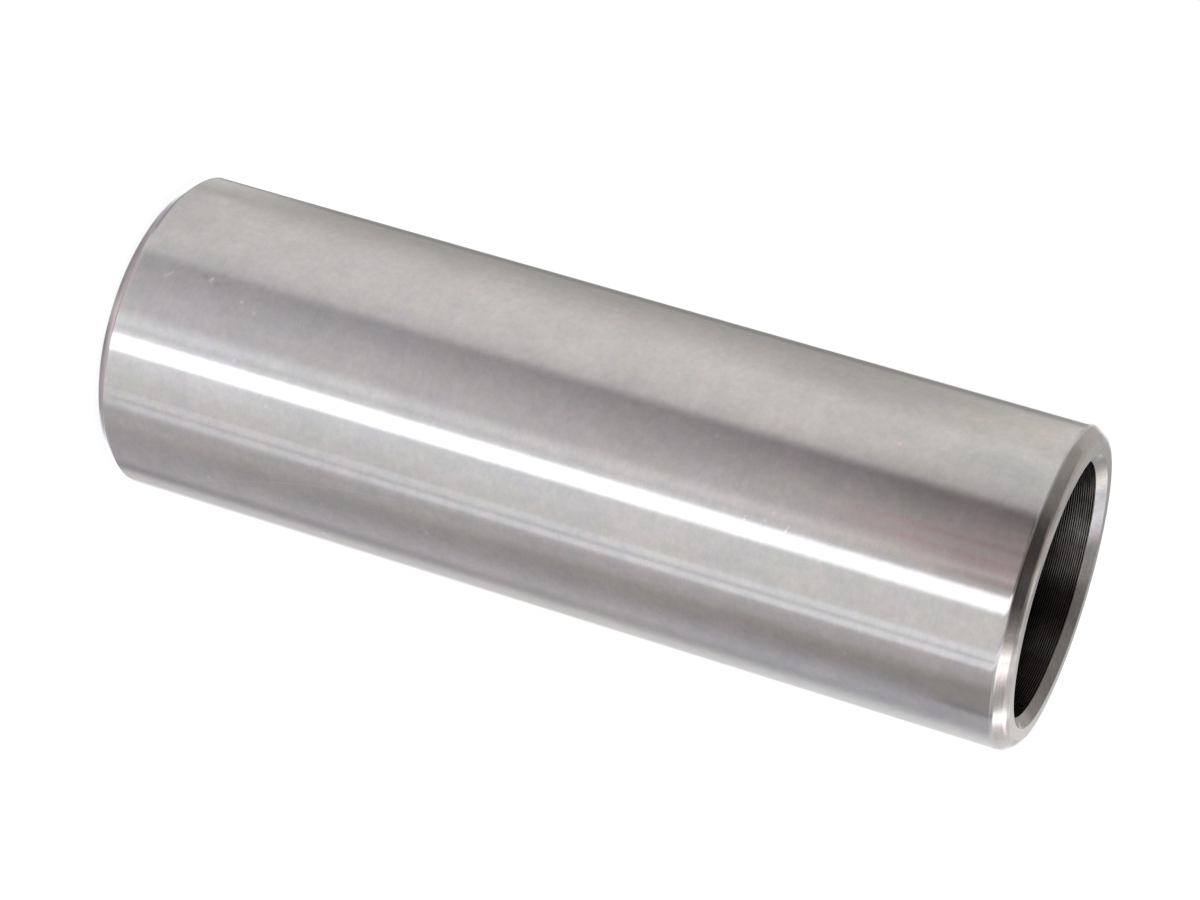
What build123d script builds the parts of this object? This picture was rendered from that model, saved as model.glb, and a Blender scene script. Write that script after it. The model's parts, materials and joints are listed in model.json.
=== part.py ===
from build123d import *
from math import atan2, tan
import os

# Gudgeon pin: one straight tube of hardened steel, ground outside, with a plain bored hole.
# Millimetres. The pin stands on one end: +Z runs up its axis from the centre of its lower end.
# Both ends are alike.

# The tube
outside_diameter = 22.0
wall_thickness = 2.4
length = 65.0

# Lead-in turned on the outside of each end, which starts the pin into its boss:
# its reach along the axis, and how far it drops below the ground outside
lead_in_length = 0.95
lead_in_depth = 0.65

# Chamfer turned at each mouth of the bore, as wide as it is deep
mouth_chamfer = 0.6

# Radii polished onto the outside corners: end_round between the flat end and the lead-in,
# shoulder_round between the lead-in and the ground outside
end_round = 0.7
shoulder_round = 0.6

# Distances from the axis that follow from these sizes
outer_radius = outside_diameter / 2
bore_radius = outer_radius - wall_thickness
mouth_radius = bore_radius + mouth_chamfer
end_corner_radius = outer_radius - lead_in_depth

# On a thin wall the flat end is narrow, and the round at its outer corner takes up at most this share
end_round_share = 0.9


def widest_end_round():
    """Largest radius whose arc still starts on the flat end."""
    flat_end_width = end_corner_radius - mouth_radius
    corner_turn = atan2(lead_in_length, lead_in_depth)
    return end_round_share * flat_end_width / tan(corner_turn / 2)


def corners_at(section, radius):
    """Corners of the wall's section that lie at this distance from the axis."""
    return section.vertices().filter_by(lambda corner: abs(corner.X - radius) < 0.001)


def wall_section():
    """Section of the tube's wall on the +X side, from the lower end up to the upper one."""
    with BuildSketch(Plane.XZ) as section:
        with BuildLine():
            Polyline(
                (bore_radius, mouth_chamfer),
                (mouth_radius, 0),
                (end_corner_radius, 0),
                (outer_radius, lead_in_length),
                (outer_radius, length - lead_in_length),
                (end_corner_radius, length),
                (mouth_radius, length),
                (bore_radius, length - mouth_chamfer),
                close=True,
            )
        make_face()
        fillet(corners_at(section, outer_radius), radius=shoulder_round)
        fillet(
            corners_at(section, end_corner_radius),
            radius=min(end_round, widest_end_round()),
        )
    return section.sketch


def turned_tube():
    """The wall's section carried once round the axis."""
    with BuildPart() as tube:
        add(wall_section())
        revolve(axis=Axis.Z)
    return tube.part


gudgeon_pin = turned_tube()

os.makedirs("parts", exist_ok=True)
export_step(gudgeon_pin, "parts/gudgeon_pin.step")
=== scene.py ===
import json
from math import atan2, cos, pi, radians, sin

import bpy
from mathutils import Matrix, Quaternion, Vector


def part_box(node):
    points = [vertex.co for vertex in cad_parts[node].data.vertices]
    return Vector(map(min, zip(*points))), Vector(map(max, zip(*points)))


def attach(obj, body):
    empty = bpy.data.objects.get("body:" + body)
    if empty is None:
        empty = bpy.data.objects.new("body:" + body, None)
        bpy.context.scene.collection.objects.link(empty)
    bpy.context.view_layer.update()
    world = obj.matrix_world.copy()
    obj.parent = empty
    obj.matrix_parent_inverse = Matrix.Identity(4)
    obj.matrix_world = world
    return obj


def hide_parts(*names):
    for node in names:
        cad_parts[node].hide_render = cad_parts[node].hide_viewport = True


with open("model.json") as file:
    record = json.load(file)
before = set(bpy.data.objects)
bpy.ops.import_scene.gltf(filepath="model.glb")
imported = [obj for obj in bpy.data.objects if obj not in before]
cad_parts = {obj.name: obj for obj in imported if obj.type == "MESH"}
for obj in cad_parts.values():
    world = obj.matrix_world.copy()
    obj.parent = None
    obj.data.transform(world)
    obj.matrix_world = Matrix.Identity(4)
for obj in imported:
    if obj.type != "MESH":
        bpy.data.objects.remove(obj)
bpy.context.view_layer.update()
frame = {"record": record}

# Gudgeon pin.
# One tube of case-hardened steel. The bore, the mouths and the lead-ins are turned, then the outside
# is ground between the wheels of a centreless grinder and lapped bright. It rides alone on its body.

MM = 0.001

low_corner, high_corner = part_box("gudgeon_pin")
pin_length = high_corner.z - low_corner.z
outer_radius = min(-low_corner.x, high_corner.x, -low_corner.y, high_corner.y)
mount_radius = {m["name"]: m["dims"].get("r_mm") for m in frame["record"]["mounts"]}
bore_radius = mount_radius["bore"] * MM

lead_in_length = 0.95 * MM
lead_in_depth = 0.65 * MM
mouth_chamfer = 0.6 * MM
end_round = 0.7 * MM
shoulder_round = 0.6 * MM
broken_edge = 0.04 * MM

length_in_mm = pin_length / MM
mouth_radius_in_mm = (bore_radius + mouth_chamfer) / MM

segments_round = 360
rings_along_walls = 8
steps_on_a_round = 12
steps_on_a_broken_edge = 3

GROUND, LEAD_IN, FLAT_END, MOUTH, BORE = range(5)


def corner_arc(corner, radius, angle_in, angle_out, steps, zone):
    """Points of a round at a corner of the wall's section, as (r, z, normal angle, zone).

    The angles are those of the outward normals of the two walls that meet there.
    """
    half_turn = (angle_out - angle_in) / 2
    middle = (angle_in + angle_out) / 2
    reach = radius / cos(half_turn)
    centre_r = corner[0] - reach * cos(middle)
    centre_z = corner[1] - reach * sin(middle)
    points = []
    for step in range(steps + 1):
        angle = angle_in + (angle_out - angle_in) * step / steps
        r = centre_r + radius * cos(angle)
        z = centre_z + radius * sin(angle)
        points.append((r, z, angle, zone))
    return points


def upper_half_section():
    """The wall's section from mid height outside, up over the end and down to mid height in the bore."""
    middle = pin_length / 2
    lead_in_normal = atan2(lead_in_depth, lead_in_length)
    flat_normal = pi / 2
    mouth_normal = 3 * pi / 4
    bore_normal = pi
    shoulder = (outer_radius, pin_length - lead_in_length)
    end_corner = (outer_radius - lead_in_depth, pin_length)
    mouth_corner = (bore_radius + mouth_chamfer, pin_length)
    bore_corner = (bore_radius, pin_length - mouth_chamfer)
    rounds = (
        (shoulder, shoulder_round, 0.0, lead_in_normal, steps_on_a_round, GROUND),
        (end_corner, end_round, lead_in_normal, flat_normal, steps_on_a_round, LEAD_IN),
        (mouth_corner, broken_edge, flat_normal, mouth_normal, steps_on_a_broken_edge, FLAT_END),
        (bore_corner, broken_edge, mouth_normal, bore_normal, steps_on_a_broken_edge, MOUTH),
    )
    over_the_end = []
    for corner, radius, angle_in, angle_out, steps, zone in rounds:
        over_the_end += corner_arc(corner, radius, angle_in, angle_out, steps, zone)
        # The wall after a round is the next zone.
        r, z, angle, _ = over_the_end[-1]
        over_the_end[-1] = (r, z, angle, zone + 1)
    shoulder_start = over_the_end[0][1]
    mouth_end = over_the_end[-1][1]
    outside = []
    inside = []
    for ring in range(rings_along_walls):
        share = ring / rings_along_walls
        outside.append((outer_radius, middle + (shoulder_start - middle) * share, 0.0, GROUND))
        inside.append((bore_radius, mouth_end + (middle - mouth_end) * share, pi, BORE))
    return outside + over_the_end + inside[1:]


def whole_section():
    """The closed section: the upper half, and its mirror image below mid height."""
    upper = upper_half_section()
    upper.append((bore_radius, pin_length / 2, pi, BORE))
    lower = []
    for index in range(len(upper) - 1, 0, -1):
        r, z, angle, _ = upper[index]
        zone = upper[index - 1][3]
        lower.append((r, pin_length - z, -angle, zone))
    return upper[:-1] + lower


def turned_mesh():
    """The closed section carried once round the axis, with the true normals of the turned surface."""
    section = whole_section()
    points, normals, faces, zones = [], [], [], []
    for r, z, angle, _ in section:
        for step in range(segments_round):
            turn = 2 * pi * step / segments_round
            points.append((r * cos(turn), r * sin(turn), z))
            normals.append((cos(angle) * cos(turn), cos(angle) * sin(turn), sin(angle)))
    for ring, (_, _, _, zone) in enumerate(section):
        here = ring * segments_round
        there = (ring + 1) % len(section) * segments_round
        for step in range(segments_round):
            after = (step + 1) % segments_round
            faces.append((here + step, here + after, there + after, there + step))
            zones.append(zone)
    mesh = bpy.data.meshes.new("turned_pin")
    mesh.from_pydata(points, [], faces)
    mesh.polygons.foreach_set("material_index", zones)
    mesh.polygons.foreach_set("use_smooth", [True] * len(faces))
    mesh.normals_split_custom_set_from_vertices(normals)
    mesh.update()
    return mesh


def new_group(name, inputs, outputs):
    """A shader node group with float or colour sockets, its input node and its output node."""
    group = bpy.data.node_groups.new(name, "ShaderNodeTree")
    for socket, kind, default in inputs:
        made = group.interface.new_socket(name=socket, in_out="INPUT", socket_type=kind)
        if default is not None:
            made.default_value = default
    for socket, kind in outputs:
        group.interface.new_socket(name=socket, in_out="OUTPUT", socket_type=kind)
    return group, group.nodes.new("NodeGroupInput"), group.nodes.new("NodeGroupOutput")


def feed(tree, value, socket):
    """Links a socket to an input, or sets the input to a plain value."""
    if isinstance(value, bpy.types.NodeSocket):
        tree.links.new(value, socket)
    else:
        socket.default_value = value


def maths(tree, operation, *values):
    """A Math node's result."""
    node = tree.nodes.new("ShaderNodeMath")
    node.operation = operation
    for value, socket in zip(values, node.inputs):
        feed(tree, value, socket)
    return node.outputs[0]


def ranged(tree, value, from_low, from_high, to_low, to_high, smooth=False):
    """A Map Range node's result, held within the target range."""
    node = tree.nodes.new("ShaderNodeMapRange")
    node.interpolation_type = "SMOOTHSTEP" if smooth else "LINEAR"
    for setting, name in (
        (value, "Value"),
        (from_low, "From Min"),
        (from_high, "From Max"),
        (to_low, "To Min"),
        (to_high, "To Max"),
    ):
        feed(tree, setting, node.inputs[name])
    return node.outputs["Result"]


def mixed(tree, share, first, second):
    """A colour between two colours."""
    node = tree.nodes.new("ShaderNodeMix")
    node.data_type = "RGBA"
    feed(tree, share, node.inputs[0])
    feed(tree, first, node.inputs[6])
    feed(tree, second, node.inputs[7])
    return node.outputs[2]


def noise_at(tree, coordinates, scale, detail=2.0, roughness=0.5):
    """A noise texture's value at the given coordinates."""
    node = tree.nodes.new("ShaderNodeTexNoise")
    tree.links.new(coordinates, node.inputs["Vector"])
    node.inputs["Scale"].default_value = scale
    node.inputs["Detail"].default_value = detail
    node.inputs["Roughness"].default_value = roughness
    return node.outputs[0]


def vector_of(tree, x, y, z):
    """Three values as one vector."""
    node = tree.nodes.new("ShaderNodeCombineXYZ")
    for value, socket in zip((x, y, z), node.inputs):
        feed(tree, value, socket)
    return node.outputs[0]


def make_pin_place():
    """Where a point lies on the pin: in millimetres, and in degrees round from the front towards +X."""
    group, _, given = new_group(
        "pin_place",
        [],
        [
            ("Place", "NodeSocketVector"),
            ("Height", "NodeSocketFloat"),
            ("Radius", "NodeSocketFloat"),
            ("Turn", "NodeSocketFloat"),
        ],
    )
    place = group.nodes.new("ShaderNodeTexCoord")
    in_mm = group.nodes.new("ShaderNodeVectorMath")
    in_mm.operation = "SCALE"
    group.links.new(place.outputs["Object"], in_mm.inputs[0])
    in_mm.inputs["Scale"].default_value = 1 / MM
    split = group.nodes.new("ShaderNodeSeparateXYZ")
    group.links.new(in_mm.outputs[0], split.inputs[0])
    x, y, z = split.outputs
    squares = maths(group, "MULTIPLY_ADD", x, x, maths(group, "MULTIPLY", y, y))
    turn = maths(group, "ARCTAN2", x, maths(group, "MULTIPLY", y, -1.0))
    for value, name in (
        (in_mm.outputs[0], "Place"),
        (z, "Height"),
        (maths(group, "SQRT", squares), "Radius"),
        (maths(group, "DEGREES", turn), "Turn"),
    ):
        group.links.new(value, given.inputs[name])
    return group


def make_tool_marks():
    """Fine rings left by a tool or wheel, for a bump (Height) and as a mask about one half (Streak).

    Across is the place across the rings in millimetres, Length is about how far one mark runs.
    """
    group, taken, given = new_group(
        "tool_marks",
        [
            ("Place", "NodeSocketVector", None),
            ("Across", "NodeSocketFloat", 0.0),
            ("Pitch", "NodeSocketFloat", 0.15),
            ("Length", "NodeSocketFloat", 8.0),
            ("Regular", "NodeSocketFloat", 0.5),
            ("Seed", "NodeSocketFloat", 0.0),
        ],
        [("Height", "NodeSocketFloat"), ("Streak", "NodeSocketFloat")],
    )
    turns = maths(group, "DIVIDE", taken.outputs["Across"], taken.outputs["Pitch"])
    ridge = maths(group, "SINE", maths(group, "MULTIPLY", turns, 2 * pi))
    ridge = ranged(group, ridge, -1.0, 1.0, 0.0, 1.0)
    split = group.nodes.new("ShaderNodeSeparateXYZ")
    group.links.new(taken.outputs["Place"], split.inputs[0])
    stretched = vector_of(
        group,
        maths(group, "DIVIDE", split.outputs[0], taken.outputs["Length"]),
        maths(group, "DIVIDE", split.outputs[1], taken.outputs["Length"]),
        maths(group, "ADD", turns, taken.outputs["Seed"]),
    )
    scratch = noise_at(group, stretched, 1.0, detail=2.0, roughness=0.6)
    height = group.nodes.new("ShaderNodeMix")
    height.data_type = "FLOAT"
    feed(group, taken.outputs["Regular"], height.inputs[0])
    feed(group, scratch, height.inputs[2])
    feed(group, ridge, height.inputs[3])
    group.links.new(height.outputs[0], given.inputs["Height"])
    group.links.new(scratch, given.inputs["Streak"])
    return group


def make_mottle():
    """Colour that varies about grey one half, of one grain size in millimetres: uneven tone and tint."""
    group, taken, given = new_group(
        "mottle",
        [
            ("Place", "NodeSocketVector", None),
            ("Size", "NodeSocketFloat", 1.0),
            ("Tint", "NodeSocketFloat", 0.3),
        ],
        [("Tone", "NodeSocketColor")],
    )
    scaled = group.nodes.new("ShaderNodeVectorMath")
    scaled.operation = "SCALE"
    group.links.new(taken.outputs["Place"], scaled.inputs[0])
    group.links.new(maths(group, "DIVIDE", 1.0, taken.outputs["Size"]), scaled.inputs["Scale"])
    noise = group.nodes.new("ShaderNodeTexNoise")
    group.links.new(scaled.outputs[0], noise.inputs["Vector"])
    noise.inputs["Scale"].default_value = 1.0
    noise.inputs["Detail"].default_value = 2.0
    tone = mixed(group, taken.outputs["Tint"], noise.outputs[0], noise.outputs[1])
    group.links.new(tone, given.inputs["Tone"])
    return group


def make_nick():
    """A mask that is one at a small spot on the steel and nothing beyond its size, in millimetres."""
    group, taken, given = new_group(
        "nick",
        [
            ("Place", "NodeSocketVector", None),
            ("Where", "NodeSocketVector", None),
            ("Size", "NodeSocketFloat", 0.1),
        ],
        [("Mask", "NodeSocketFloat")],
    )
    apart = group.nodes.new("ShaderNodeVectorMath")
    apart.operation = "DISTANCE"
    group.links.new(taken.outputs["Place"], apart.inputs[0])
    group.links.new(taken.outputs["Where"], apart.inputs[1])
    mask = ranged(group, apart.outputs["Value"], 0.0, taken.outputs["Size"], 1.0, 0.0, smooth=True)
    group.links.new(mask, given.inputs["Mask"])
    return group


def make_smudge_and_painted_shade():
    """A mask with soft edges, centred on a height and a turn, in millimetres and degrees, for stains, tints
    and patches of painted shade and painted light.
    """
    group, taken, given = new_group(
        "smudge_and_painted_shade",
        [
            ("Height", "NodeSocketFloat", 0.0),
            ("Turn", "NodeSocketFloat", 0.0),
            ("At Height", "NodeSocketFloat", 0.0),
            ("At Turn", "NodeSocketFloat", 0.0),
            ("Half Length", "NodeSocketFloat", 1.0),
            ("Half Width", "NodeSocketFloat", 1.0),
        ],
        [("Mask", "NodeSocketFloat")],
    )
    along = maths(group, "SUBTRACT", taken.outputs["Height"], taken.outputs["At Height"])
    along = maths(group, "DIVIDE", along, taken.outputs["Half Length"])
    across = maths(group, "SUBTRACT", taken.outputs["Turn"], taken.outputs["At Turn"])
    across = maths(group, "DIVIDE", across, taken.outputs["Half Width"])
    squares = maths(group, "MULTIPLY_ADD", along, along, maths(group, "MULTIPLY", across, across))
    mask = ranged(group, maths(group, "SQRT", squares), 0.0, 1.0, 1.0, 0.0, smooth=True)
    group.links.new(mask, given.inputs["Mask"])
    return group


pin_place = make_pin_place()
tool_marks = make_tool_marks()
mottle = make_mottle()
nick = make_nick()
smudge_and_painted_shade = make_smudge_and_painted_shade()


def grouped(tree, group, **values):
    """A shader group placed in a tree, with its inputs linked or set. Spaces in names are underscores."""
    node = tree.nodes.new("ShaderNodeGroup")
    node.node_tree = group
    for name, value in values.items():
        feed(tree, value, node.inputs[name.replace("_", " ")])
    return node.outputs


def varied(tree, colour, tone, amount):
    """A colour made lighter and darker by a tone about one half."""
    low = tree.nodes.new("ShaderNodeVectorMath")
    low.operation = "MULTIPLY_ADD"
    tree.links.new(tone, low.inputs[0])
    low.inputs[1].default_value = (2 * amount, 2 * amount, 2 * amount)
    low.inputs[2].default_value = (1 - amount, 1 - amount, 1 - amount)
    times = tree.nodes.new("ShaderNodeVectorMath")
    times.operation = "MULTIPLY"
    feed(tree, colour, times.inputs[0])
    tree.links.new(low.outputs[0], times.inputs[1])
    return times.outputs[0]


def levelled(tree, colour, level):
    """A colour times a level that may differ over the surface."""
    return varied(tree, colour, maths(tree, "MULTIPLY", level, 0.5), 1.0)


def tinted(tree, colour, tint, share):
    """A colour taken towards a tint, by a share that may differ over the surface."""
    times = tree.nodes.new("ShaderNodeVectorMath")
    times.operation = "MULTIPLY"
    tree.links.new(colour, times.inputs[0])
    times.inputs[1].default_value = tint
    return mixed(tree, share, colour, times.outputs[0])


def mottled(tree, place, colour, mottles):
    """A colour made uneven: the grain size in millimetres, the tint and the amount for each mottle."""
    for size, tint, amount in mottles:
        tone = grouped(tree, mottle, Place=place["Place"], Size=size, Tint=tint)["Tone"]
        colour = varied(tree, colour, tone, amount)
    return colour


def marked(tree, place, across, pitch, seed, regular=0.5, length=8.0):
    """Tool marks across a place in millimetres, as a height for a bump and a mask."""
    return grouped(
        tree,
        tool_marks,
        Place=place["Place"],
        Across=across,
        Pitch=pitch,
        Length=length,
        Regular=regular,
        Seed=seed,
    )


def smudge_and_painted_shade_mask(tree, place, at_turn, at_height, half_width, half_length):
    """A soft patch's mask, centred on a turn in degrees and a height in millimetres."""
    return grouped(
        tree,
        smudge_and_painted_shade,
        Height=place["Height"],
        Turn=place["Turn"],
        At_Height=at_height,
        At_Turn=at_turn,
        Half_Length=half_length,
        Half_Width=half_width,
    )["Mask"]


def steel_material(name, roughness):
    """A metal material with its Principled node, and the pin's own coordinates ready in its tree."""
    material = bpy.data.materials.new(name)
    material.use_nodes = True
    tree = material.node_tree
    shader = tree.nodes["Principled BSDF"]
    shader.inputs["Metallic"].default_value = 1.0
    shader.inputs["Roughness"].default_value = roughness
    return material, tree, shader, grouped(tree, pin_place)


def bumped(tree, shader, height, strength, distance):
    """Feeds a height to the shader's normal through a Bump node."""
    bump = tree.nodes.new("ShaderNodeBump")
    bump.inputs["Strength"].default_value = strength
    bump.inputs["Distance"].default_value = distance
    tree.links.new(height, bump.inputs["Height"])
    tree.links.new(bump.outputs["Normal"], shader.inputs["Normal"])


def rippled(tree, shader, place, size, depth):
    """Bumps the surface in soft ripples of one size and depth in millimetres."""
    ripple = grouped(tree, mottle, Place=place["Place"], Size=size, Tint=0.0)["Tone"]
    bumped(tree, shader, ripple, 1.0, depth * MM)


def roughened(tree, shader, mask, low, high, smoothest, roughest):
    """Feeds the shader a roughness that follows a mask between two of its values."""
    tree.links.new(ranged(tree, mask, low, high, smoothest, roughest), shader.inputs["Roughness"])


def rocked(tree, shader, height, pitch, slope):
    """Rocks the shader's normal up and down along the axis, as an even thread of tool marks does.

    The slope may differ over the surface.
    """
    wave = maths(tree, "COSINE", maths(tree, "MULTIPLY", height, 2 * pi / pitch))
    along = tree.nodes.new("ShaderNodeVectorTransform")
    along.vector_type = "NORMAL"
    along.convert_from = "OBJECT"
    along.convert_to = "WORLD"
    tree.links.new(vector_of(tree, 0.0, 0.0, 1.0), along.inputs[0])
    rock = tree.nodes.new("ShaderNodeVectorMath")
    rock.operation = "SCALE"
    tree.links.new(along.outputs[0], rock.inputs[0])
    tree.links.new(maths(tree, "MULTIPLY", wave, slope), rock.inputs["Scale"])
    surface = tree.nodes.new("ShaderNodeNewGeometry")
    tilted = tree.nodes.new("ShaderNodeVectorMath")
    tilted.operation = "ADD"
    tree.links.new(surface.outputs["Normal"], tilted.inputs[0])
    tree.links.new(rock.outputs[0], tilted.inputs[1])
    unit = tree.nodes.new("ShaderNodeVectorMath")
    unit.operation = "NORMALIZE"
    tree.links.new(tilted.outputs[0], unit.inputs[0])
    tree.links.new(unit.outputs[0], shader.inputs["Normal"])


def uneven(tree, turn, level, changes):
    """A value that differs round the pin from its level: (turn, half width in degrees, change) for each."""
    for at_turn, half_width, change in changes:
        aside = maths(tree, "ABSOLUTE", maths(tree, "SUBTRACT", turn, at_turn))
        near = ranged(tree, aside, 0.0, half_width, change, 0.0, smooth=True)
        level = maths(tree, "ADD", near, level)
    return level


def on_the_outside(turn, height):
    """A point of the ground outside, in millimetres, from its turn in degrees and its height."""
    radius = outer_radius / MM
    return (radius * sin(radians(turn)), -radius * cos(radians(turn)), height)


# Small nicks in the ground outside, with their glints painted bright: turn, height, size and how bright.
# Some touch to form a scuff.
nick_glints = (
    (-16.9, 3.3, 0.19, 0.35),
    (-17.7, 3.45, 0.19, 0.35),
    (-18.6, 3.6, 0.17, 0.30),
    (-19.7, 6.4, 0.19, 0.5),
    (-20.4, 6.5, 0.21, 0.6),
    (54.5, 8.6, 0.18, 0.35),
    (-15.3, 9.1, 0.22, 0.4),
    (4.8, 9.9, 0.2, 0.2),
    (-12.6, 10.2, 0.18, 0.3),
    (17.1, 12.8, 0.18, 0.25),
    (71.0, 16.6, 0.26, 0.7),
    (50.0, 17.2, 0.16, 0.3),
    (64.3, 18.7, 0.2, 0.3),
    (48.2, 25.0, 0.2, 0.25),
    (-58.9, 32.6, 0.22, 0.3),
    (-17.2, 42.9, 0.24, 0.25),
    (6.7, 46.28, 0.14, 0.4),
    (5.7, 46.29, 0.14, 0.35),
    (5.2, 47.6, 0.24, 0.2),
    (2.2, 48.06, 0.2, 0.15),
    (6.8, 49.07, 0.12, 0.6),
    (6.1, 49.13, 0.12, 0.55),
    (5.4, 49.19, 0.11, 0.5),
    (4.8, 49.23, 0.1, 0.4),
    (-33.3, 54.1, 0.24, 0.2),
    (43.7, 54.3, 0.2, 0.25),
)

# Faint stains, and patches of painted shade and painted light: turn, height, half width in degrees, half
# length in millimetres, how much darker.
# The last four are painted light, a little lighter.
stains_and_painted_shading = (
    (-62.0, 33.0, 9.0, 4.0, 0.05),
    (-39.0, 51.0, 6.0, 3.5, 0.05),
    (56.0, 61.0, 14.0, 8.0, 0.11),
    (60.0, 3.0, 12.0, 8.0, 0.09),
    (-42.0, 2.0, 16.0, 7.0, 0.09),
    (-52.0, 51.0, 13.0, 12.0, 0.09),
    (-9.0, 40.0, 11.0, 11.0, 0.08),
    (80.0, 32.0, 12.0, 8.0, 0.13),
    (-63.0, 56.0, 9.0, 5.0, 0.12),
    (-36.0, 61.0, 9.0, 5.0, 0.10),
    (9.0, 50.0, 5.0, 14.0, 0.07),
    (-31.0, 36.0, 8.0, 5.0, 0.05),
    (-28.0, 6.5, 8.0, 5.0, 0.06),
    (-7.8, 63.0, 2.2, 6.0, 0.10),
    (3.6, 63.5, 2.6, 7.0, 0.23),
    (-2.0, 65.0, 10.0, 9.0, 0.10),
    (-60.0, 12.0, 8.0, 5.0, 0.03),
    (51.0, 63.0, 4.5, 5.0, 0.16),
    (53.2, 63.8, 2.4, 3.5, 0.16),
    (52.4, 61.7, 2.9, 3.2, 0.14),
    (-20.4, 6.0, 1.6, 0.45, 0.15),
    (-18.9, 7.0, 1.6, 0.5, 0.10),
    (-76.0, 66.0, 22.0, 8.0, -0.36),
    (-60.0, 66.0, 12.0, 5.5, -0.26),
    (-76.0, 4.5, 8.0, 5.0, -0.10),
    (-57.0, 4.0, 5.0, 4.5, -0.11),
)

# The steel's colours, as each tool left it, and where it is scratched or tarnished, with the painted shade,
# highlight, light and glint colours among them.
ground_colour = (0.588, 0.570, 0.562)
lead_in_colour = (0.592, 0.556, 0.534)
faced_colour = (0.575, 0.565, 0.55)
mouth_colour = (0.575, 0.54, 0.515, 1)
mouth_painted_reflection_tint = (0.56, 0.55, 0.575, 1)
painted_bore_shade_colour = (0.034, 0.027, 0.026, 1)
painted_bore_light_colour = (0.62, 0.585, 0.55, 1)
painted_shade_colour = (0.16, 0.147, 0.152, 1)
painted_highlight_colour = (0.97, 0.91, 0.91, 1)
scratched_colour = (0.9, 0.9, 0.9, 1)
nick_glint_colour = (1.0, 1.0, 1.0, 1)
mouth_tarnish = (0.33, 0.305, 0.29, 1)
painted_edge_shade = (0.14, 0.135, 0.13, 1)

# Tints by which the steel's colour is multiplied. The yellowish one paints a reflection tint, and the dark
# bluish one paints shade.
yellowish = (1.0, 1.0, 0.95)
bluish = (0.965, 1.0, 1.035)
reddish = (1.05, 0.89, 0.90)
painted_bluish_shade = (0.74, 0.79, 0.85)

# The turning tool's advance in the bore, in millimetres a turn.
bore_pitch = 0.15


def hairline_mask(tree, place):
    """The mask of a hairline scratch that curves away along the lower side."""
    start, bend = 6.8, 14.0
    turn_at_start, slope, curve = 61.0, -2.08, 0.0693
    from_start = maths(tree, "SUBTRACT", place["Height"], start)
    from_bend = maths(tree, "SUBTRACT", place["Height"], bend)
    its_turn = maths(tree, "MULTIPLY", maths(tree, "MULTIPLY", from_start, from_bend), curve)
    its_turn = maths(tree, "ADD", its_turn, maths(tree, "MULTIPLY", from_start, slope))
    its_turn = maths(tree, "ADD", its_turn, turn_at_start)
    aside = maths(tree, "ABSOLUTE", maths(tree, "SUBTRACT", place["Turn"], its_turn))
    mask = ranged(tree, aside, 0.15, 0.5, 0.12, 0.0, smooth=True)
    mask = maths(tree, "MULTIPLY", mask, ranged(tree, place["Height"], 6.0, 8.0, 0.0, 1.0))
    return maths(tree, "MULTIPLY", mask, ranged(tree, place["Height"], 20.0, 26.0, 1.0, 0.0))


def nick_glint_mask(tree, place):
    """How bright the painted glints of all the nicks together make a point."""
    painted_brightness = 0.0
    for at_turn, at_height, size, brightness in nick_glints:
        where = on_the_outside(at_turn, at_height)
        mask = grouped(tree, nick, Place=place["Place"], Where=where, Size=size)["Mask"]
        painted_brightness = maths(tree, "MAXIMUM", maths(tree, "MULTIPLY", mask, brightness), painted_brightness)
    return painted_brightness


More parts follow.
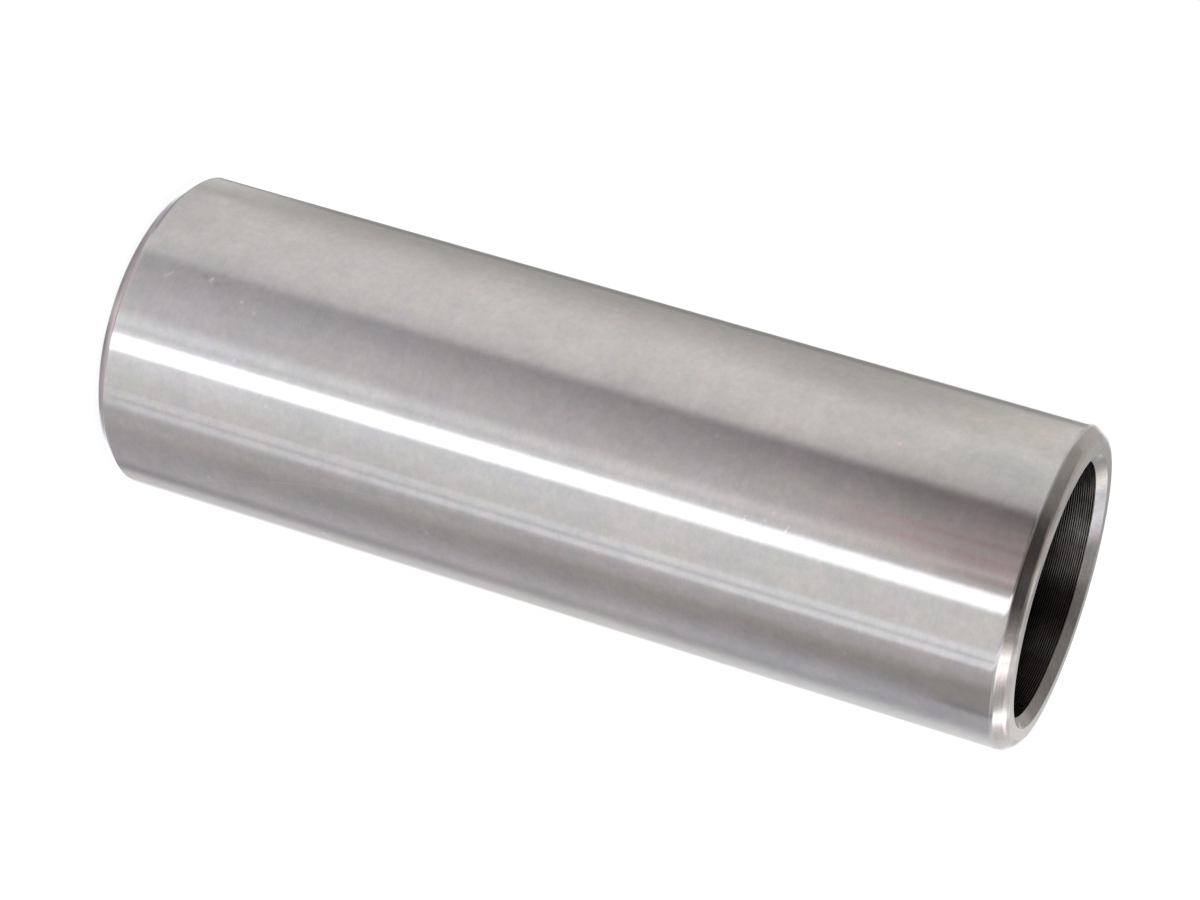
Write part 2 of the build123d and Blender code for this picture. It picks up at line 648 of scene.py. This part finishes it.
def ground_steel():
    """The outside: ground and lapped bright, with a fine grain round the pin and a faint uneven tone,
    stains, painted shade and light, painted glints and a painted reflection tint.
    """
    material, tree, shader, place = steel_material("ground_steel", 0.08)
    height, turn = place["Height"], place["Turn"]
    mottles = (
        (0.13, 0.2, 0.08),
        (0.5, 0.35, 0.13),
        (1.6, 0.35, 0.105),
        (4.5, 0.3, 0.075),
        (12.0, 0.2, 0.05),
    )
    colour = mottled(tree, place, ground_colour, mottles)
    lay = marked(tree, place, height, pitch=0.13, seed=3.0, length=1.1)
    colour = varied(tree, colour, lay["Streak"], 0.05)
    # Stains and painted shade darken the colour in patches, and painted light makes it lighter.
    for at_turn, at_height, half_width, half_length, darker in stains_and_painted_shading:
        mask = smudge_and_painted_shade_mask(tree, place, at_turn, at_height, half_width, half_length)
        tone = maths(tree, "SUBTRACT", 0.5, maths(tree, "MULTIPLY", mask, 0.5))
        colour = varied(tree, colour, tone, darker)

    # A faint yellowish painted reflection tint along the whole pin in two bands, and a bluish tint in two
    # places.
    painted_reflection_bands = uneven(tree, turn, 0.0, ((-60.0, 20.0, 1.0), (41.0, 9.0, 0.9)))
    colour = tinted(tree, colour, yellowish, painted_reflection_bands)
    bluish_places = ((-34.0, 61.5, 15.0, 5.0), (65.0, 56.0, 26.0, 20.0))
    for at_turn, at_height, half_width, half_length in bluish_places:
        tint_mask = smudge_and_painted_shade_mask(tree, place, at_turn, at_height, half_width, half_length)
        colour = tinted(tree, colour, bluish, tint_mask)

    # A reddish tint in streaks along the pin, over the dark band near its upper end.
    across_streaks = maths(tree, "MULTIPLY", turn, 0.55)
    along_streaks = maths(tree, "MULTIPLY", height, 0.06)
    streak = noise_at(tree, vector_of(tree, across_streaks, along_streaks, 0.0), 1.0, detail=1.0)
    streak = ranged(tree, streak, 0.35, 0.65, 0.15, 1.0)
    tint_mask = smudge_and_painted_shade_mask(tree, place, -5.0, 64.0, 17.0, 17.0)
    tint_mask = maths(tree, "MINIMUM", maths(tree, "MULTIPLY", tint_mask, 1.6), 1.0)
    colour = tinted(tree, colour, reddish, maths(tree, "MULTIPLY", tint_mask, streak))

    colour = mixed(tree, hairline_mask(tree, place), colour, scratched_colour)
    # The nicks' glints are painted white into the colour.
    colour = mixed(tree, nick_glint_mask(tree, place), colour, nick_glint_colour)
    tree.links.new(colour, shader.inputs["Base Color"])
    cloud = grouped(tree, mottle, Place=place["Place"], Size=3.0, Tint=0.0)["Tone"]
    roughened(tree, shader, cloud, low=0.3, high=0.7, smoothest=0.07, roughest=0.10)
    rippled(tree, shader, place, size=0.6, depth=0.0004)
    return material


def lead_in_steel():
    """The lead-in: turned, then softened by tumbling, with painted light, highlights and shade round it."""
    material, tree, shader, place = steel_material("lead_in_steel", 0.2)
    height, turn = place["Height"], place["Turn"]
    marks = marked(tree, place, height, pitch=0.11, seed=11.0, regular=0.3)
    colour = varied(tree, lead_in_colour, marks["Streak"], 0.12)
    colour = mottled(tree, place, colour, ((0.4, 0.4, 0.16), (1.3, 0.5, 0.2)))

    # Painted light and shade: lighter and darker stretches, the first at both ends and the second, with
    # painted highlights, at the upper end alone.
    level = uneven(
        tree,
        turn,
        1.0,
        (
            (-24.0, 10.0, -0.18),
            (0.0, 9.0, 0.42),
            (12.0, 8.0, -0.22),
            (36.0, 10.0, -0.08),
            (62.0, 40.0, -0.15),
        ),
    )
    painted_upper_light_and_shade = uneven(
        tree,
        turn,
        0.0,
        (
            (-81.0, 6.0, -0.2),
            (21.5, 3.0, -0.18),
            (27.5, 2.8, 0.30),
            (32.5, 5.0, 0.28),
            (55.0, 7.0, 0.5),
            (88.0, 11.0, -0.55),
        ),
    )
    at_the_upper_end = maths(tree, "GREATER_THAN", height, length_in_mm / 2)
    level = maths(tree, "MULTIPLY_ADD", painted_upper_light_and_shade, at_the_upper_end, level)
    colour = levelled(tree, colour, level)

    # At the lower end its foot is painted with a dark bluish shade, and its inner half is painted with a
    # highlight in front and with shade at the sides.
    painted_shade_foot = ranged(tree, height, 0.25, 0.75, 1.0, 0.0, smooth=True)
    colour = tinted(tree, colour, painted_bluish_shade, painted_shade_foot)
    at_the_lower_end = maths(tree, "LESS_THAN", height, length_in_mm / 2)
    painted_shade_half = ranged(tree, height, 0.3, 0.6, 0.0, 1.0, smooth=True)
    painted_shade_half = maths(tree, "MULTIPLY", painted_shade_half, at_the_lower_end)
    painted_shade_sides = uneven(tree, turn, 0.0, ((-46.0, 12.0, 1.0), (46.0, 12.0, 1.0)))
    colour = mixed(tree, maths(tree, "MULTIPLY", painted_shade_sides, painted_shade_half), colour, painted_shade_colour)
    painted_highlight_half = ranged(tree, height, 0.35, 0.8, 0.0, 1.0, smooth=True)
    painted_highlight_half = maths(tree, "MULTIPLY", painted_highlight_half, at_the_lower_end)
    painted_brightness = uneven(tree, turn, 0.0, ((5.0, 24.0, 0.8),))
    colour = mixed(tree, maths(tree, "MULTIPLY", painted_brightness, painted_highlight_half), colour, painted_highlight_colour)
    tree.links.new(colour, shader.inputs["Base Color"])
    roughened(tree, shader, marks["Streak"], low=0.2, high=0.8, smoothest=0.15, roughest=0.2)
    rippled(tree, shader, place, size=0.9, depth=0.012)
    return material


def flat_end_steel():
    """The flat end: faced in rings, duller than the outside, with painted light and shade that differ round
    it.
    """
    material, tree, shader, place = steel_material("flat_end_steel", 0.3)
    radius, turn = place["Radius"], place["Turn"]
    marks = marked(tree, place, radius, pitch=0.12, seed=23.0, regular=0.25)
    colour = varied(tree, faced_colour, marks["Streak"], 0.10)
    # Painted light and shade round the flat end.
    level = uneven(
        tree,
        turn,
        0.84,
        (
            (-130.0, 60.0, -0.21),
            (-158.0, 24.0, -0.14),
            (-36.0, 12.0, -0.25),
            (-4.0, 14.0, -0.13),
            (4.0, 26.0, -0.31),
            (85.0, 85.0, 0.38),
        ),
    )
    colour = levelled(tree, colour, level)

    # Its broken inner edge is painted with shade on one side.
    from_mouth = maths(tree, "SUBTRACT", radius, mouth_radius_in_mm)
    inner_edge = ranged(tree, from_mouth, 0.02, 0.06, 1.0, 0.0, smooth=True)
    tarnish_and_painted_shade = maths(tree, "MULTIPLY", uneven(tree, turn, 0.0, ((-98.0, 26.0, 0.9),)), inner_edge)
    colour = mixed(tree, tarnish_and_painted_shade, colour, painted_edge_shade)
    colour = mottled(tree, place, colour, ((0.7, 0.5, 0.08),))
    tree.links.new(colour, shader.inputs["Base Color"])
    roughened(tree, shader, marks["Streak"], low=0.2, high=0.8, smoothest=0.22, roughest=0.30)
    bumped(tree, shader, marks["Height"], 0.5, 0.004 * MM)
    return material


def mouth_steel():
    """The chamfer at the mouth of the bore: turned bright, tarnished in places, with a painted cooler
    reflection tint on one side and painted light and shade round it.
    """
    material, tree, shader, place = steel_material("mouth_steel", 0.18)
    turn = place["Turn"]
    marks = marked(tree, place, place["Height"], pitch=0.1, seed=31.0, regular=0.4)
    # One side is painted with a cooler reflection tint.
    painted_tint_side = uneven(tree, turn, 0.0, ((-128.0, 60.0, 1.0),))
    colour = mixed(tree, painted_tint_side, mouth_colour, mouth_painted_reflection_tint)
    colour = varied(tree, colour, marks["Streak"], 0.12)
    tarnish_and_painted_shade = uneven(tree, turn, 0.0, ((123.0, 26.0, 1.4), (-112.0, 22.0, 1.1)))
    colour = mixed(tree, maths(tree, "MINIMUM", tarnish_and_painted_shade, 1.0), colour, mouth_tarnish)
    # Painted light and shade round the mouth.
    level = uneven(
        tree,
        turn,
        1.0,
        (
            (-93.0, 20.0, -0.92),
            (-142.0, 16.0, 0.32),
            (-157.0, 9.0, -0.22),
            (-169.0, 9.0, 0.42),
            (98.0, 12.0, -0.28),
        ),
    )
    colour = levelled(tree, colour, level)
    colour = mottled(tree, place, colour, ((0.28, 0.3, 0.22), (1.0, 0.5, 0.2)))
    tree.links.new(colour, shader.inputs["Base Color"])
    roughened(tree, shader, marks["Streak"], low=0.2, high=0.8, smoothest=0.14, roughest=0.20)
    rippled(tree, shader, place, size=1.2, depth=0.012)
    return material


def bore_steel():
    """The bore: left as turned, with an even thread of tool marks, painted dark with shade deep inside and
    painted lighter near its ends.
    """
    material, tree, shader, place = steel_material("bore_steel", 0.3)
    height, turn = place["Height"], place["Turn"]
    marks = marked(tree, place, height, pitch=bore_pitch, seed=47.0, length=3.0)
    # Painted shade darkens the bore deep inside, and painted light makes it lighter near its ends, most on
    # one side.
    from_an_end = maths(tree, "MINIMUM", height, maths(tree, "SUBTRACT", length_in_mm, height))
    painted_light_near_ends = ranged(tree, from_an_end, 1.7, 3.2, 1.0, 0.12, smooth=True)
    painted_light_round_bore = uneven(tree, turn, 0.05, ((-148.0, 34.0, 0.42), (-116.0, 20.0, 0.75), (158.0, 14.0, 0.15)))
    painted_brightness = maths(tree, "MULTIPLY", painted_light_near_ends, painted_light_round_bore)
    colour = mixed(tree, painted_brightness, painted_bore_shade_colour, painted_bore_light_colour)
    colour = mottled(tree, place, colour, ((0.7, 0.15, 0.55),))
    colour = varied(tree, colour, marks["Streak"], 0.5)
    tree.links.new(colour, shader.inputs["Base Color"])
    roughened(tree, shader, marks["Streak"], low=0.2, high=0.8, smoothest=0.22, roughest=0.34)
    rocked(tree, shader, height, bore_pitch, uneven(tree, turn, 0.24, ((-110.0, 24.0, -0.2),)))
    return material


turned_pin = bpy.data.objects.new("turned_pin", turned_mesh())
bpy.context.scene.collection.objects.link(turned_pin)
for make_material in (ground_steel, lead_in_steel, flat_end_steel, mouth_steel, bore_steel):
    turned_pin.data.materials.append(make_material())
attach(turned_pin, "root")
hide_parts("gudgeon_pin")

# Floor.
# A plain white sheet under the pin, whose grey and whose glow come to white together. It takes the
# pin's soft shadow, and the polished steel looks past it into the studio round about, because the
# photographed pin hangs clear of any floor.

floor_half_size = 1.0
floor_grey = 0.18
floor_glow = 0.89

floor_mesh = bpy.data.meshes.new("floor")
floor_mesh.from_pydata(
    [
        (-floor_half_size, -floor_half_size, 0),
        (floor_half_size, -floor_half_size, 0),
        (floor_half_size, floor_half_size, 0),
        (-floor_half_size, floor_half_size, 0),
    ],
    [],
    [(0, 1, 2, 3)],
)
floor = bpy.data.objects.new("floor", floor_mesh)
bpy.context.scene.collection.objects.link(floor)
floor.visible_glossy = False
floor_material = bpy.data.materials.new("floor_white")
floor_material.use_nodes = True
floor_tree = floor_material.node_tree
floor_tree.nodes.clear()
paper = floor_tree.nodes.new("ShaderNodeBsdfDiffuse")
paper.inputs["Color"].default_value = (floor_grey, floor_grey, floor_grey, 1)
glow = floor_tree.nodes.new("ShaderNodeEmission")
glow.inputs["Strength"].default_value = floor_glow
black = floor_tree.nodes.new("ShaderNodeEmission")
black.inputs["Strength"].default_value = 0.0
seen_by = floor_tree.nodes.new("ShaderNodeLightPath")
glow_if_seen = floor_tree.nodes.new("ShaderNodeMixShader")
seen_at_all = seen_by.outputs["Is Camera Ray"]
for kind_of_ray in ("Is Glossy Ray", "Is Transmission Ray"):
    seen_at_all = maths(floor_tree, "MAXIMUM", seen_by.outputs[kind_of_ray], seen_at_all)
floor_tree.links.new(seen_at_all, glow_if_seen.inputs[0])
floor_tree.links.new(black.outputs[0], glow_if_seen.inputs[1])
floor_tree.links.new(glow.outputs[0], glow_if_seen.inputs[2])
both = floor_tree.nodes.new("ShaderNodeAddShader")
floor_tree.links.new(paper.outputs[0], both.inputs[0])
floor_tree.links.new(glow_if_seen.outputs[0], both.inputs[1])
floor_output = floor_tree.nodes.new("ShaderNodeOutputMaterial")
floor_tree.links.new(both.outputs[0], floor_output.inputs["Surface"])
floor_mesh.materials.append(floor_material)

# Studio.
# White to the eye and even white light on all matt things. What the steel mirrors is the same white
# studio with its walls at different levels, a dark screen, a strip light and two small lamps.

white = (1.0, 1.0, 1.0, 1)
warm = (1.02, 1.0, 0.965)
plain = (1.01, 1.0, 1.0)
mauve = (1.025, 1.0, 1.045)
rosy = (1.06, 1.0, 1.0)
cool = (0.975, 1.0, 1.045)

# The walls in degrees above level: their feet and tops, where a panel has its lower and its upper
# light, and the height about which it leans.
walls_foot = -29.0
walls_top = -7.0
lower_light_at = -25.0
upper_light_at = -11.0
leans_about = -18.0


def lit(level, tint=plain):
    """A light's or a wall's colour from its level and tint."""
    return (level * tint[0], level * tint[1], level * tint[2], 1)


def make_panel():
    """Lays an upright panel with soft edges over a colour.

    Round is degrees from the lens, towards the right where it is above 0, and Above is degrees above
    level. The panel may lean, and its light changes from its lower part to its upper part.
    """
    group, taken, given = new_group(
        "studio_panel",
        [
            ("Behind", "NodeSocketColor", None),
            ("Round", "NodeSocketFloat", 0.0),
            ("Above", "NodeSocketFloat", 0.0),
            ("Start", "NodeSocketFloat", 0.0),
            ("Start Softness", "NodeSocketFloat", 1.0),
            ("End", "NodeSocketFloat", 1.0),
            ("End Softness", "NodeSocketFloat", 1.0),
            ("Lean", "NodeSocketFloat", 0.0),
            ("Lower Light", "NodeSocketColor", None),
            ("Upper Light", "NodeSocketColor", None),
        ],
        [("Colour", "NodeSocketColor")],
    )
    value = taken.outputs
    over_the_pivot = maths(group, "SUBTRACT", value["Above"], leans_about)
    leaning = maths(group, "MULTIPLY", value["Lean"], over_the_pivot)
    upright = maths(group, "SUBTRACT", value["Round"], leaning)
    masks = []
    edges = (("Start", "Start Softness", 1.0, 0.0), ("End", "End Softness", 0.0, 1.0))
    for edge, softness, inside, outside in edges:
        low = maths(group, "SUBTRACT", value[edge], value[softness])
        high = maths(group, "ADD", value[edge], value[softness])
        masks.append(ranged(group, upright, low, high, outside, inside, smooth=True))
    mask = maths(group, "MULTIPLY", masks[0], masks[1])
    light_span = upper_light_at - lower_light_at
    light_at_foot = (walls_foot - lower_light_at) / light_span
    light_at_top = (walls_top - lower_light_at) / light_span
    height = ranged(group, value["Above"], walls_foot, walls_top, light_at_foot, light_at_top)
    light = group.nodes.new("ShaderNodeVectorMath")
    light.operation = "SUBTRACT"
    group.links.new(value["Upper Light"], light.inputs[0])
    group.links.new(value["Lower Light"], light.inputs[1])
    scaled = group.nodes.new("ShaderNodeVectorMath")
    scaled.operation = "SCALE"
    group.links.new(light.outputs[0], scaled.inputs[0])
    group.links.new(height, scaled.inputs["Scale"])
    total = group.nodes.new("ShaderNodeVectorMath")
    total.operation = "ADD"
    group.links.new(scaled.outputs[0], total.inputs[0])
    group.links.new(value["Lower Light"], total.inputs[1])
    group.links.new(mixed(group, mask, value["Behind"], total.outputs[0]), given.inputs["Colour"])
    return group


def make_patch():
    """Lays a patch of light with soft edges over a colour, centred on a direction in the studio."""
    group, taken, given = new_group(
        "studio_patch",
        [
            ("Behind", "NodeSocketColor", None),
            ("Round", "NodeSocketFloat", 0.0),
            ("Above", "NodeSocketFloat", 0.0),
            ("At Round", "NodeSocketFloat", 0.0),
            ("At Above", "NodeSocketFloat", 0.0),
            ("Half Width", "NodeSocketFloat", 5.0),
            ("Half Height", "NodeSocketFloat", 5.0),
            ("Softness", "NodeSocketFloat", 2.0),
            ("Light", "NodeSocketColor", None),
        ],
        [("Colour", "NodeSocketColor")],
    )
    value = taken.outputs
    masks = []
    ways = (("Round", "At Round", "Half Width"), ("Above", "At Above", "Half Height"))
    for here, centre, half in ways:
        aside = maths(group, "ABSOLUTE", maths(group, "SUBTRACT", value[here], value[centre]))
        low = maths(group, "SUBTRACT", value[half], value["Softness"])
        high = maths(group, "ADD", value[half], value["Softness"])
        masks.append(ranged(group, aside, low, high, 1.0, 0.0, smooth=True))
    mask = maths(group, "MULTIPLY", masks[0], masks[1])
    group.links.new(mixed(group, mask, value["Behind"], value["Light"]), given.inputs["Colour"])
    return group


studio_panel = make_panel()
studio_patch = make_patch()

world = bpy.data.worlds.new("studio")
bpy.context.scene.world = world
world.use_nodes = True
world.cycles.sampling_method = "NONE"
studio = world.node_tree
studio.nodes.clear()

looking = studio.nodes.new("ShaderNodeTexCoord")
direction = studio.nodes.new("ShaderNodeSeparateXYZ")
studio.links.new(looking.outputs["Generated"], direction.inputs[0])
to_x, to_y, to_z = direction.outputs
round_from_lens = maths(studio, "ARCTAN2", to_x, maths(studio, "MULTIPLY", to_y, -1.0))
round_from_lens = maths(studio, "DEGREES", round_from_lens)
above_level = maths(studio, "DEGREES", maths(studio, "ARCSINE", to_z))

# Low down the walls sweep in under the pin, so that a wall carries on over the round at its lower end.
# A place down there is told by the point of that round which mirrors it: how far round the pin, doubled
# to agree with the walls above, and how far over the edge.
lens_above_lower_end = radians(25.0)
low_z = maths(studio, "MINIMUM", to_z, 0.0)
drawn_in = maths(studio, "SQRT", maths(studio, "SUBTRACT", 1.0, maths(studio, "MULTIPLY", low_z, low_z)))
drawn_in = maths(studio, "MINIMUM", maths(studio, "DIVIDE", drawn_in, cos(lens_above_lower_end)), 1.0)
round_in_radians = maths(studio, "RADIANS", round_from_lens)
level_x = maths(studio, "MULTIPLY", drawn_in, maths(studio, "SINE", round_in_radians))
level_y = maths(studio, "MULTIPLY_ADD", drawn_in, maths(studio, "COSINE", round_in_radians), 1.0)
round_the_pin = maths(studio, "DEGREES", maths(studio, "ARCTAN2", level_x, level_y))
round_the_pin = maths(studio, "MULTIPLY", round_the_pin, 2.0)
outward = maths(studio, "MULTIPLY_ADD", level_x, level_x, maths(studio, "MULTIPLY", level_y, level_y))
outward = maths(studio, "MULTIPLY", maths(studio, "SQRT", outward), cos(lens_above_lower_end))
downward = maths(studio, "SUBTRACT", -sin(lens_above_lower_end), to_z)
over_the_edge = maths(studio, "DEGREES", maths(studio, "ARCTAN2", downward, outward))
above_the_feet = maths(studio, "MAXIMUM", above_level, walls_foot)


def panel(behind, start, start_softness, end, end_softness, lower_light, upper_light, lean=0.0):
    """A panel laid over what is behind it."""
    return grouped(
        studio,
        studio_panel,
        Behind=behind,
        Round=round_the_pin,
        Above=above_the_feet,
        Start=start,
        Start_Softness=start_softness,
        End=end,
        End_Softness=end_softness,
        Lean=lean,
        Lower_Light=lower_light,
        Upper_Light=upper_light,
    )["Colour"]


def patch(behind, at_round, at_above, half_width, half_height, softness, light, low=False):
    """A patch of light laid over what is behind it. A low one is placed by the round that mirrors it."""
    return grouped(
        studio,
        studio_patch,
        Behind=behind,
        Round=round_the_pin if low else round_from_lens,
        Above=over_the_edge if low else above_level,
        At_Round=at_round,
        At_Above=at_above,
        Half_Width=half_width,
        Half_Height=half_height,
        Softness=softness,
        Light=light,
    )["Colour"]


right_round = 200
left_round = -200

# The whole room, then the left half from the wall beside the pin to the backdrop behind it.
walls = panel(white, left_round, 1, right_round, 1, lit(0.77, mauve), lit(0.65, rosy))
walls = panel(walls, -105, 16, -55, 12, lit(0.86, plain), lit(0.90, warm), lean=0.35)
walls = panel(walls, left_round, 5, -128, 20, lit(0.48, warm), lit(0.48, plain), lean=-0.13)
walls = panel(walls, -164, 2, -148, 4.2, lit(0.34, warm), lit(0.33, warm), lean=0.33)

# The dark screen left of the lens, and the light between it and the strip.
walls = panel(walls, -46.7, 4.9, -26, 23, lit(0.565, mauve), lit(0.255, (1.13, 1.0, 1.05)), lean=0.19)
walls = panel(walls, 0, 4.8, 9.3, 3.6, lit(1.06, cool), lit(0.87, rosy))

# The light right wall, and the two bright lines where its frame ends.
walls = panel(walls, 10, 2.3, 49.6, 8.2, lit(1.07, cool), lit(0.88, plain), lean=-0.15)
walls = panel(walls, 41, 13.6, 54.8, 3.3, lit(0.85, plain), lit(0.91, plain), lean=0.36)
walls = panel(walls, 54.6, 1.4, 60.1, 0.9, lit(0.93, plain), lit(1.12, cool), lean=-0.12)
walls = panel(walls, 59.3, 2.9, 61.3, 2.3, lit(0.96, cool), lit(0.96, cool), lean=0.04)
walls = panel(walls, 63.2, 1.1, 68.5, 1.8, lit(0.90, cool), lit(1.13, cool), lean=-0.22)

# The darker right wall, its darkest stretch, its end, and the backdrop beyond it.
walls = panel(walls, 70.8, 4.1, 144.7, 11.2, lit(0.59, mauve), lit(0.595, mauve), lean=-0.03)
walls = panel(walls, 83.8, 7, 108.3, 11.7, lit(0.51, mauve), lit(0.40, rosy), lean=-0.35)
walls = panel(walls, 127, 6.6, 139.9, 6.9, lit(0.36, mauve), lit(0.50, mauve), lean=-0.32)
walls = panel(walls, 138.8, 17, right_round, 5, lit(0.70, plain), lit(0.88, plain), lean=-0.36)
walls = panel(walls, left_round, 5, -160.8, 1.7, lit(1.25, plain), lit(1.3, plain), lean=0.42)
walls = panel(walls, 162, 4, right_round, 5, lit(0.85, plain), lit(1.3, plain))

# The walls' tops: shaded left of the strip, lighter at the far left. Their feet: lighter at the far left.
top_shade = ranged(studio, above_level, -15.2, -10.8, 0.0, 1.0, smooth=True)
shaded = panel(walls, -70, 20, 14.4, 3, lit(0.0), lit(0.0))
walls = mixed(studio, maths(studio, "MULTIPLY", top_shade, 0.2), walls, shaded)
top_light = ranged(studio, above_level, -13.5, -11.5, 0.0, 0.4, smooth=True)
walls = mixed(studio, top_light, walls, panel(walls, -143, 12, -103, 10, lit(1.0), lit(1.0)))
foot_light = ranged(studio, above_level, -24.8, -21.8, 1.0, 0.0, smooth=True)
walls = mixed(studio, foot_light, walls, panel(walls, -157.3, 1.8, -129, 12, lit(0.73), lit(0.73)))

# Above the walls the room is dark over the lens and light behind the pin, with two lamps at the right.
# The walls fade into the ceiling higher up on the right than on the left.
ceiling = panel(white, left_round, 1, right_round, 1, lit(0.265, warm), lit(0.265, warm))
fade_from = ranged(studio, round_from_lens, -5.0, 12.0, 11.6, 22.9, smooth=True)
fade_to = ranged(studio, round_from_lens, -5.0, 12.0, 27.7, 57.5, smooth=True)
fade = ranged(studio, above_level, fade_from, fade_to, 0.0, 1.0, smooth=True)
surroundings = mixed(studio, fade, walls, ceiling)
surroundings = patch(surroundings, -162.3, 37.8, 39.7, 41.6, 12, lit(0.54, warm))
surroundings = patch(surroundings, 135.2, 35.7, 66.8, 30.9, 12, lit(0.85, plain))
surroundings = patch(surroundings, 186.5, 37.0, 8.0, 42.0, 2.9, lit(0.46, warm))
surroundings = patch(surroundings, -15.2, 56.1, 46.0, 19.9, 12, lit(0.06, rosy))
surroundings = patch(surroundings, 95.9, 24.9, 21.1, 14.5, 1.9, lit(0.58, plain))
surroundings = patch(surroundings, -84.0, 26.4, 29.0, 8.1, 10.4, lit(0.49, warm))
surroundings = patch(surroundings, 73.5, 38.6, 13.5, 12.4, 12, lit(1.92, plain))
surroundings = patch(surroundings, 133.8, 29.8, 17.9, 5.1, 8.7, lit(2.4, plain))
surroundings = patch(surroundings, -180.6, -0.7, 14.8, 4.0, 4.1, lit(1.2, plain))
surroundings = patch(surroundings, -15.8, 19.7, 31.7, 7.1, 5.3, lit(0.25, warm))

# The feet of the walls: darker at the left, then a dim floor, and the white backdrop beyond it.
surroundings = patch(surroundings, -92, 24, 26, 14, 8, lit(0.46, mauve), low=True)
surroundings = patch(surroundings, -135, 6, 30, 4, 3, lit(0.50, mauve), low=True)
further_in = ranged(studio, over_the_edge, 40.0, 53.0, 0.0, 1.0)
dim_floor = mixed(studio, further_in, lit(0.50, (1.12, 1.0, 1.02)), lit(0.62, (0.98, 1.0, 1.06)))
onto_the_floor = ranged(studio, over_the_edge, 28.0, 36.0, 0.0, 1.0, smooth=True)
surroundings = mixed(studio, onto_the_floor, surroundings, dim_floor)
far_round = maths(studio, "ABSOLUTE", round_the_pin)
beyond = maths(
    studio,
    "MULTIPLY",
    ranged(studio, far_round, 23.0, 102.0, 0.0, 1.0, smooth=True),
    ranged(studio, over_the_edge, 35.5, 38.5, 0.0, 1.0, smooth=True),
)
beside_from = ranged(studio, over_the_edge, 26.0, 33.5, 98.0, 74.0)
beside_to = ranged(studio, over_the_edge, 26.0, 33.5, 132.0, 101.0)
beside = maths(
    studio,
    "MULTIPLY",
    ranged(studio, far_round, beside_from, beside_to, 0.0, 1.0, smooth=True),
    ranged(studio, over_the_edge, 5.0, 14.0, 0.0, 1.0, smooth=True),
)
surroundings = mixed(studio, maths(studio, "MAXIMUM", beyond, beside), surroundings, lit(1.6, cool))

# The strip light right of the lens. It ends above the walls, and below where the dim floor begins.
strip = panel(surroundings, 15.0, 2.0, 26.2, 2.0, lit(2.6, cool), lit(1.9, cool), lean=-0.11)
strip_height = ranged(studio, above_level, 19.0, 26.5, 1.0, 0.0, smooth=True)
strip_foot = ranged(studio, over_the_edge, 31.0, 37.0, 1.0, 0.0, smooth=True)
surroundings = mixed(studio, maths(studio, "MULTIPLY", strip_height, strip_foot), surroundings, strip)

# Straight down it is dim.
straight_down = ranged(studio, above_level, -76.0, -64.0, 0.85, 0.0, smooth=True)
surroundings = mixed(studio, straight_down, surroundings, lit(0.56, (1.1, 1.0, 1.01)))

path = studio.nodes.new("ShaderNodeLightPath")
in_a_mirror = maths(studio, "MAXIMUM", path.outputs["Is Glossy Ray"], path.outputs["Is Transmission Ray"])
background = studio.nodes.new("ShaderNodeBackground")
studio.links.new(mixed(studio, in_a_mirror, white, surroundings), background.inputs["Color"])
world_output = studio.nodes.new("ShaderNodeOutputWorld")
studio.links.new(background.outputs[0], world_output.inputs["Surface"])

# Camera.
# It looks down on the standing pin from the front, and is turned about its line of sight until the
# pin lies across the picture with its upper end to the right, as in the photograph.

lens_length = 109.05
sensor_width = 36.0
camera_distance = 243.38 * MM
camera_height_angle = radians(17.254)
camera_roll = radians(106.565)
aimed_beside_the_axis = -0.291 * MM
aimed_below_the_middle = -0.02 * MM

pin_middle = Vector((0, 0, pin_length / 2))
towards_the_camera = Vector((0, -cos(camera_height_angle), sin(camera_height_angle)))
camera_place = pin_middle + camera_distance * towards_the_camera
line_of_sight = pin_middle + Vector((aimed_beside_the_axis, 0, aimed_below_the_middle)) - camera_place
camera_data = bpy.data.cameras.new("camera")
camera_data.lens = lens_length
camera_data.sensor_width = sensor_width
camera_data.clip_start = 0.01
camera_data.clip_end = 20.0
camera = bpy.data.objects.new("camera", camera_data)
bpy.context.scene.collection.objects.link(camera)
camera.location = camera_place
camera.rotation_mode = "QUATERNION"
camera.rotation_quaternion = line_of_sight.to_track_quat("-Z", "Y") @ Quaternion((0, 0, 1), camera_roll)
bpy.context.scene.camera = camera
bpy.context.scene.view_settings.view_transform = "Standard"
